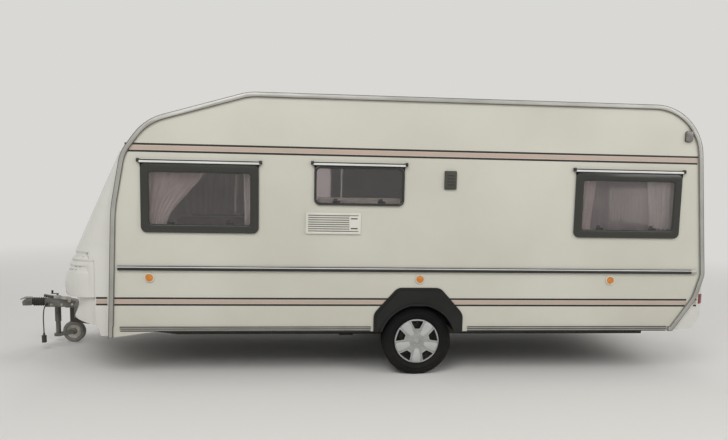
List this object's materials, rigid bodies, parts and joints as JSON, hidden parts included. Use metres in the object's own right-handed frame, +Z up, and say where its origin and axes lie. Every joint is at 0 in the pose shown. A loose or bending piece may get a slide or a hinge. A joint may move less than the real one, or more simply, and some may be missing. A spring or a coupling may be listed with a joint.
{
  "type": "travel caravan",
  "caption": "Single-axle travel caravan with a hollow cabin, moulded nose, gas-locker lid, entry door, roof hatches, corner steadies and a jockey wheel.",
  "frame": {"origin": "on the ground, at the centre of the bounding box in plan", "axes": "+X forward to the hitch, +Y to the left side, +Z up"},
  "size_m": [6.4719, 2.322, 2.4933],
  "materials": {
    "wall_skin": "smooth painted sandwich panel, cream white",
    "nose_moulding": "glossy moulded glass-fibre plastic",
    "floor_board": "plywood sandwich, dark underside",
    "rail_aluminium": "satin aluminium extrusion",
    "arch_plastic": "black grained plastic",
    "window_border": "dark olive-grey acrylic border",
    "window_acrylic": "smoky clear acrylic",
    "vent_white": "white moulded plastic",
    "flue_olive": "dark olive-grey plastic",
    "amber_lens": "amber reflector plastic",
    "marker_lens": "pale lens",
    "red_lens": "dark red lens",
    "plate_blank": "blank plate",
    "hatch_plastic": "milky white plastic",
    "chassis_steel": "galvanised steel, dark with road film",
    "hitch_steel": "weathered grey steel",
    "bright_steel": "bright steel",
    "black_rubber": "black rubber",
    "tyre_rubber": "tyre rubber",
    "rim_steel": "painted steel wheel",
    "trim_silver": "silver painted plastic",
    "cover_plastic": "olive-grey moulded plastic",
    "furniture_board": "wood-grain laminate on light board",
    "cushion_fabric": "woven upholstery",
    "curtain_fabric": "pinkish beige woven curtain"
  },
  "bodies": {
    "caravan": {"left_wall": "wall_skin", "right_wall": "wall_skin", "roof_panel": "wall_skin", "rear_wall": "wall_skin", "locker_bulkhead": "wall_skin", "front_panel": "nose_moulding", "front_skirt": "nose_moulding", "rear_bumper": "nose_moulding", "floor_panel": "floor_board", "edge_rails": "rail_aluminium", "side_rails": "rail_aluminium", "window_rails": "rail_aluminium", "door_frame": "rail_aluminium", "arch_trims": "arch_plastic", "wheel_boxes": "arch_plastic", "window_frames": "window_border", "window_panes": "window_acrylic", "fridge_vent": "vent_white", "flue_cover": "flue_olive", "side_reflectors": "amber_lens", "marker_lamps": "marker_lens", "tail_lamps": "red_lens", "plate_holder": "plate_blank", "hatch_frames": "hatch_plastic", "main_members": "chassis_steel", "cross_members": "chassis_steel", "axle_tube": "chassis_steel", "trailing_arms": "chassis_steel", "steady_brackets": "chassis_steel", "overrun_housing": "hitch_steel", "coupling_head": "hitch_steel", "jockey_tube": "hitch_steel", "coupling_handle": "bright_steel", "hand_brake_lever": "bright_steel", "bellows": "black_rubber", "cable_gland": "black_rubber", "lead": "black_rubber", "lead_plug": "black_rubber", "drawbar_cover": "cover_plastic", "furniture": "furniture_board", "cushions": "cushion_fabric", "curtains": "curtain_fabric"},
    "wheel_left": {"tyre_left": "tyre_rubber", "rim_left": "rim_steel", "wheel_trim_left": "trim_silver"},
    "wheel_right": {"tyre_right": "tyre_rubber", "rim_right": "rim_steel", "wheel_trim_right": "trim_silver"},
    "entry_door": {"door_leaf": "wall_skin", "door_window": "window_acrylic", "door_handle": "arch_plastic"},
    "locker_lid": {"gas_locker_lid": "nose_moulding"},
    "hatch_middle": {"hatch_lid_middle": "hatch_plastic"},
    "hatch_rear": {"hatch_lid_rear": "hatch_plastic"},
    "jockey_castor": {"jockey_fork": "hitch_steel"},
    "jockey_roller": {"jockey_wheel": "tyre_rubber"},
    "steady_front_left": {"steady_leg_front_left": "chassis_steel"},
    "steady_front_right": {"steady_leg_front_right": "chassis_steel"},
    "steady_rear_left": {"steady_leg_rear_left": "chassis_steel"},
    "steady_rear_right": {"steady_leg_rear_right": "chassis_steel"}
  },
  "joints": [
    {"name": "wheel_left_spin", "type": "hinge", "parent": "caravan", "child": "wheel_left", "pos_m": [-0.5765, 1, 0.305], "axis": [0, 1, 0], "continuous": true},
    {"name": "wheel_right_spin", "type": "hinge", "parent": "caravan", "child": "wheel_right", "pos_m": [-0.5765, -1, 0.305], "axis": [0, 1, 0], "continuous": true},
    {"name": "entry_door_swing", "type": "hinge", "parent": "caravan", "child": "entry_door", "pos_m": [0.6055, -1.153, 1.3], "axis": [0, 0, 1], "range_deg": [0, 165]},
    {"name": "locker_lid_lift", "type": "hinge", "parent": "caravan", "child": "locker_lid", "pos_m": [2.4225, 0, 1.005], "axis": [0, -1, 0], "range_deg": [0, 75]},
    {"name": "hatch_middle_lift", "type": "hinge", "parent": "caravan", "child": "hatch_middle", "pos_m": [0.1715, 0, 2.457], "axis": [0, 1, 0], "range_deg": [0, 50]},
    {"name": "hatch_rear_lift", "type": "hinge", "parent": "caravan", "child": "hatch_rear", "pos_m": [-1.8285, 0, 2.457], "axis": [0, 1, 0], "range_deg": [0, 50]},
    {"name": "jockey_swivel", "type": "hinge", "parent": "caravan", "child": "jockey_castor", "pos_m": [2.9435, -0.17, 0.3], "axis": [0, 0, 1], "continuous": true},
    {"name": "jockey_wheel_spin", "type": "hinge", "parent": "jockey_castor", "child": "jockey_roller", "pos_m": [2.7835, -0.17, 0.11], "axis": [0, 1, 0], "continuous": true},
    {"name": "steady_front_left_fold", "type": "hinge", "parent": "caravan", "child": "steady_front_left", "pos_m": [1.1735, 0.77, 0.35], "axis": [0, 1, 0], "range_deg": [0, 50]},
    {"name": "steady_front_right_fold", "type": "hinge", "parent": "caravan", "child": "steady_front_right", "pos_m": [1.1735, -0.77, 0.35], "axis": [0, 1, 0], "range_deg": [0, 50]},
    {"name": "steady_rear_left_fold", "type": "hinge", "parent": "caravan", "child": "steady_rear_left", "pos_m": [-2.3265, 0.77, 0.35], "axis": [0, -1, 0], "range_deg": [0, 50]},
    {"name": "steady_rear_right_fold", "type": "hinge", "parent": "caravan", "child": "steady_rear_right", "pos_m": [-2.3265, -0.77, 0.35], "axis": [0, -1, 0], "range_deg": [0, 50]}
  ]
}
